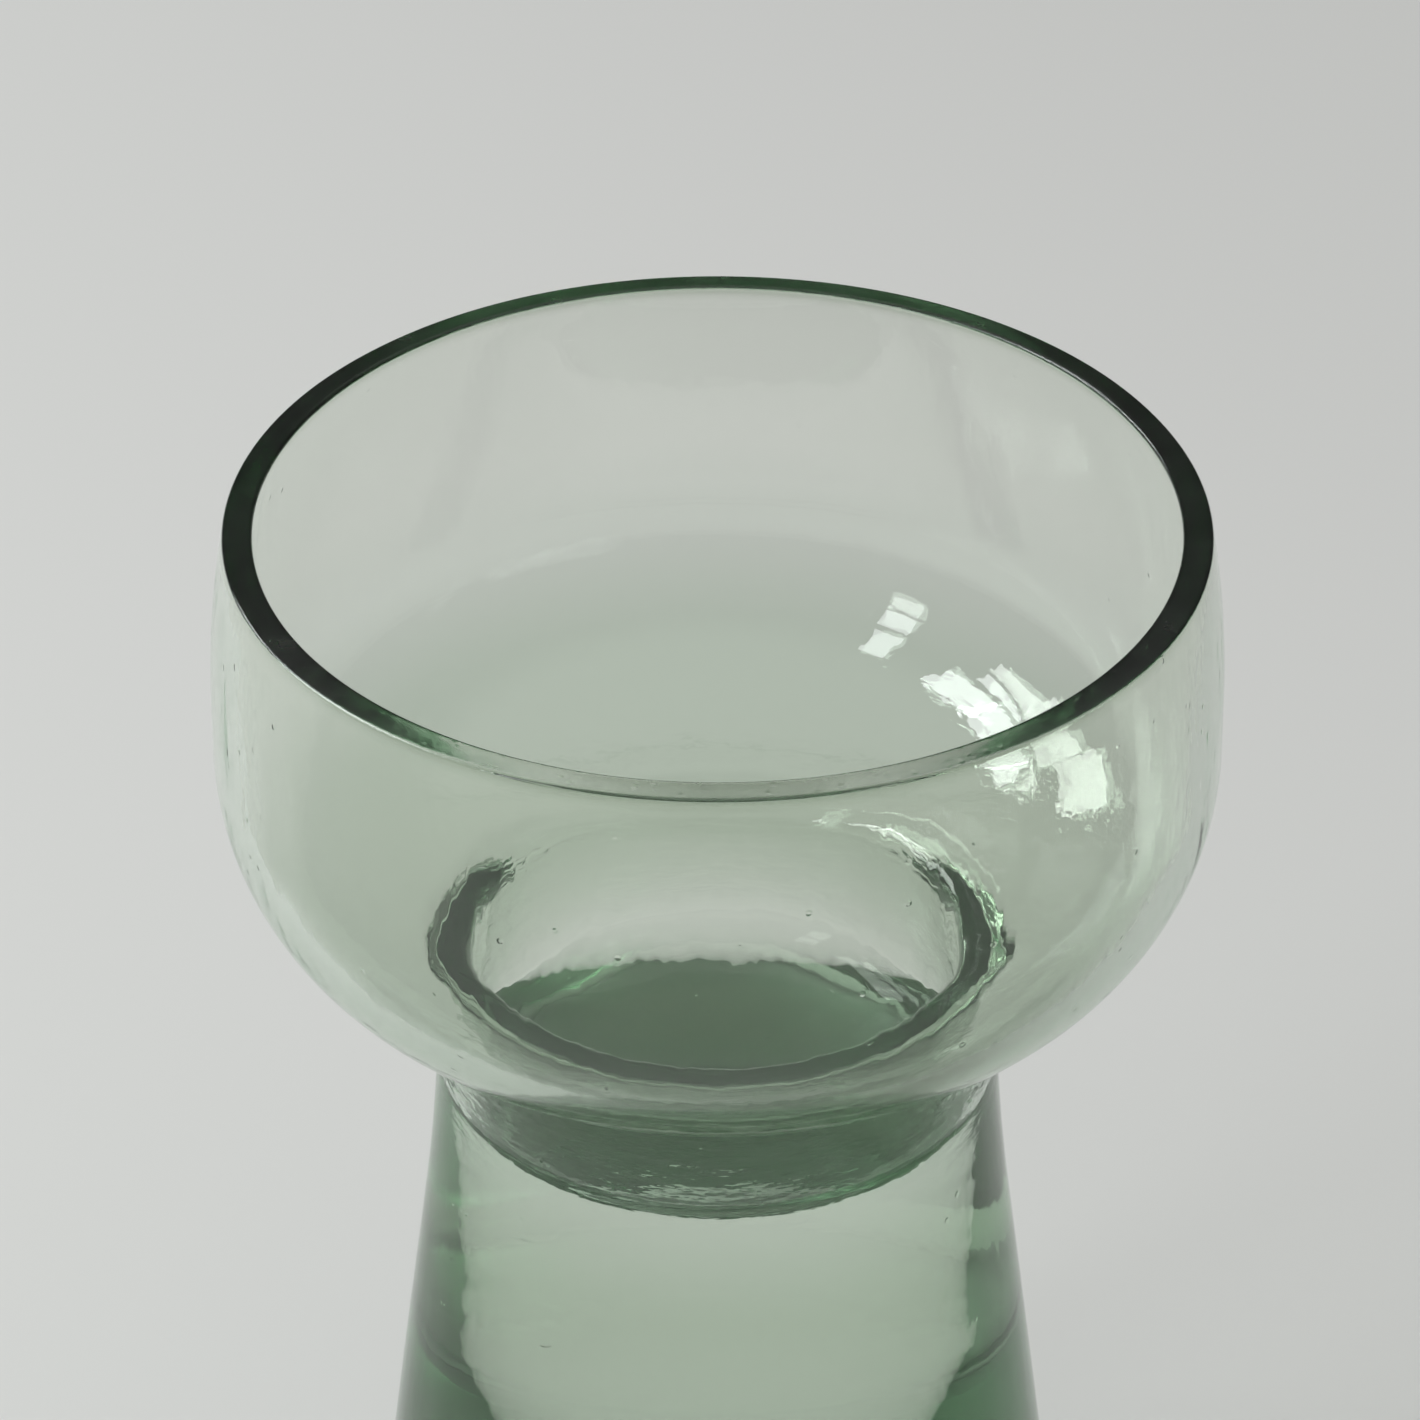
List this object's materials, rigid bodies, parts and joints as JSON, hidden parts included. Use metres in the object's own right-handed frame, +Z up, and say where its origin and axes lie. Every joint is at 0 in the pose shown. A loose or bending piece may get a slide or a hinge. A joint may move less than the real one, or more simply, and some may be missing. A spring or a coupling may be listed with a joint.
{
  "type": "hyacinth forcing vase",
  "caption": "Pale green blown-glass vase with a wide bulb cup, a narrow throat and a cone-shaped reservoir filled with water.",
  "frame": {"origin": "centre of the foot, on the surface that the vase stands on", "axes": "+Z up along the vase's round axis, from the foot to the rim"},
  "size_m": [0.0868, 0.0868, 0.13],
  "materials": {
    "green_glass": "polished",
    "water": "polished"
  },
  "bodies": {
    "root": {"glass_vessel": "green_glass", "water_fill": "water"}
  },
  "joints": []
}
